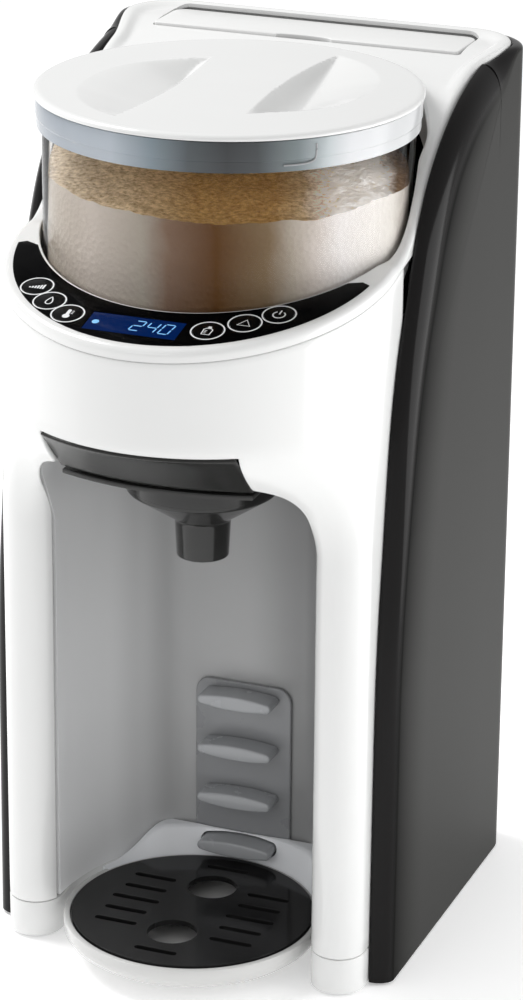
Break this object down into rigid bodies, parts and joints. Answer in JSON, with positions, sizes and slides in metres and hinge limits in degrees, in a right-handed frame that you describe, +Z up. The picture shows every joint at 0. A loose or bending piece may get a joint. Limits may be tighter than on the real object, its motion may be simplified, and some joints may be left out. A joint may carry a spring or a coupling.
{
  "type": "formula dispenser",
  "caption": "Countertop machine that doses powder from a clear top container, mixes it with warm water in a funnel and fills a bottle standing on a height-adjustable tray.",
  "frame": {"origin": "on the table, under the middle of the bounding box", "axes": "+Z up, -Y is the front with the bottle bay, +X to the right when facing the front"},
  "size_m": [0.1878, 0.2366, 0.388],
  "materials": {
    "white_shell": "smooth gloss white moulding",
    "liner_grey": "satin light grey",
    "mid_grey": "satin mid grey",
    "dark_panel": "piano gloss dark",
    "overlay_black": "gloss black film",
    "display_blue": "backlit blue window",
    "smoke": "translucent smoke",
    "clear": "clear moulding",
    "silicone": "translucent pale silicone",
    "rubber_black": "matte rubber",
    "acetal": "natural acetal",
    "steel": "plain steel",
    "board": "circuit board",
    "powder": "loose cream powder"
  },
  "bodies": {
    "base": {"base_frame": "white_shell", "bottom_plate": "dark_panel", "left_side_panel": "dark_panel", "right_side_panel": "dark_panel", "front_shell": "white_shell", "top_cover": "white_shell", "rear_cover": "dark_panel", "chassis_frame": "mid_grey", "cavity_liner": "liner_grey", "peg_panel": "liner_grey", "stand_peg_1": "mid_grey", "stand_peg_2": "mid_grey", "stand_peg_3": "mid_grey", "stand_peg_4": "mid_grey", "funnel_rail_left": "liner_grey", "funnel_rail_right": "liner_grey", "dosing_motor": "steel", "gearbox_plate": "mid_grey", "powder_chute": "acetal", "control_overlay": "overlay_black", "lcd_display": "display_blue", "display_board": "board", "water_pump": "mid_grey", "water_heater": "steel", "intake_hose": "silicone", "heater_hose": "silicone", "outlet_hose": "silicone", "water_nozzle": "acetal", "main_board": "board", "power_inlet": "overlay_black", "rubber_foot_1": "rubber_black", "base_screw_1": "steel", "rubber_foot_2": "rubber_black", "base_screw_2": "steel", "rubber_foot_3": "rubber_black", "base_screw_3": "steel", "rubber_foot_4": "rubber_black", "base_screw_4": "steel"},
    "container": {"powder_container": "clear", "formula_powder": "powder"},
    "lid_ring": {"lid_collar": "silicone"},
    "lid": {"container_lid": "white_shell"},
    "wheel": {"mixing_wheel": "acetal"},
    "coupler": {"drive_coupler": "mid_grey", "drive_gear": "acetal"},
    "pinion": {"motor_pinion": "acetal"},
    "funnel": {"funnel": "smoke", "funnel_cover": "smoke"},
    "tray": {"tray_cup": "white_shell"},
    "grille": {"tray_grille": "overlay_black"},
    "tank": {"water_tank": "clear", "tank_valve": "mid_grey", "tank_lid_pin": "steel"},
    "tank_lid": {"tank_lid": "white_shell"},
    "key_powder": {"key_powder": "overlay_black"},
    "key_water": {"key_water": "overlay_black"},
    "key_heat": {"key_heat": "overlay_black"},
    "key_unit": {"key_unit": "overlay_black"},
    "key_start": {"key_start": "overlay_black"},
    "key_power": {"key_power": "overlay_black"}
  },
  "joints": [
    {"name": "container_lift", "type": "slide", "parent": "base", "child": "container", "axis": [0, 0, 1], "range_m": [0, 0.12]},
    {"name": "lid_lift", "type": "slide", "parent": "container", "child": "lid_ring", "axis": [0, 0, 1], "range_m": [0, 0.06]},
    {"name": "lid_twist", "type": "hinge", "parent": "lid_ring", "child": "lid", "pos_m": [0, -0.00755, 0.38], "axis": [0, 0, 1], "range_deg": [0, 25]},
    {"name": "wheel_spin", "type": "hinge", "parent": "container", "child": "wheel", "pos_m": [0, -0.00755, 0.297], "axis": [0, 0, 1], "continuous": true},
    {"name": "gear_spin", "type": "hinge", "parent": "base", "child": "coupler", "pos_m": [0, -0.00755, 0.271], "axis": [0, 0, 1], "continuous": true},
    {"name": "pinion_spin", "type": "hinge", "parent": "base", "child": "pinion", "pos_m": [0, 0.01055, 0.271], "axis": [0, 0, 1], "continuous": true},
    {"name": "funnel_slide", "type": "slide", "parent": "base", "child": "funnel", "axis": [0, -1, 0], "range_m": [0, 0.1]},
    {"name": "tray_slide", "type": "slide", "parent": "base", "child": "tray", "axis": [0, -1, 0], "range_m": [0, 0.11]},
    {"name": "grille_tilt", "type": "hinge", "parent": "tray", "child": "grille", "pos_m": [0, 0.00635, 0.0191], "axis": [-1, 0, 0], "range_deg": [0, 28]},
    {"name": "tank_lift", "type": "slide", "parent": "base", "child": "tank", "axis": [0, 0, 1], "range_m": [0, 0.15]},
    {"name": "tank_lid_hinge", "type": "hinge", "parent": "tank", "child": "tank_lid", "pos_m": [0, 0.10525, 0.3826], "axis": [-1, 0, 0], "range_deg": [0, 60]},
    {"name": "key_powder_press", "type": "slide", "parent": "base", "child": "key_powder", "axis": [0, 0.2204, -0.9754], "range_m": [0, 0.0006], "stiffness_N_per_m": 500, "springref_m": -0.001},
    {"name": "key_water_press", "type": "slide", "parent": "base", "child": "key_water", "axis": [0, 0.2204, -0.9754], "range_m": [0, 0.0006], "stiffness_N_per_m": 500, "springref_m": -0.001},
    {"name": "key_heat_press", "type": "slide", "parent": "base", "child": "key_heat", "axis": [0, 0.2204, -0.9754], "range_m": [0, 0.0006], "stiffness_N_per_m": 500, "springref_m": -0.001},
    {"name": "key_unit_press", "type": "slide", "parent": "base", "child": "key_unit", "axis": [0, 0.2204, -0.9754], "range_m": [0, 0.0006], "stiffness_N_per_m": 500, "springref_m": -0.001},
    {"name": "key_start_press", "type": "slide", "parent": "base", "child": "key_start", "axis": [0, 0.2204, -0.9754], "range_m": [0, 0.0006], "stiffness_N_per_m": 500, "springref_m": -0.001},
    {"name": "key_power_press", "type": "slide", "parent": "base", "child": "key_power", "axis": [0, 0.2204, -0.9754], "range_m": [0, 0.0006], "stiffness_N_per_m": 500, "springref_m": -0.001}
  ],
  "couplings": [
    {"joint": "gear_spin", "follows": "wheel_spin", "ratio": 1},
    {"joint": "pinion_spin", "follows": "wheel_spin", "ratio": -2}
  ]
}
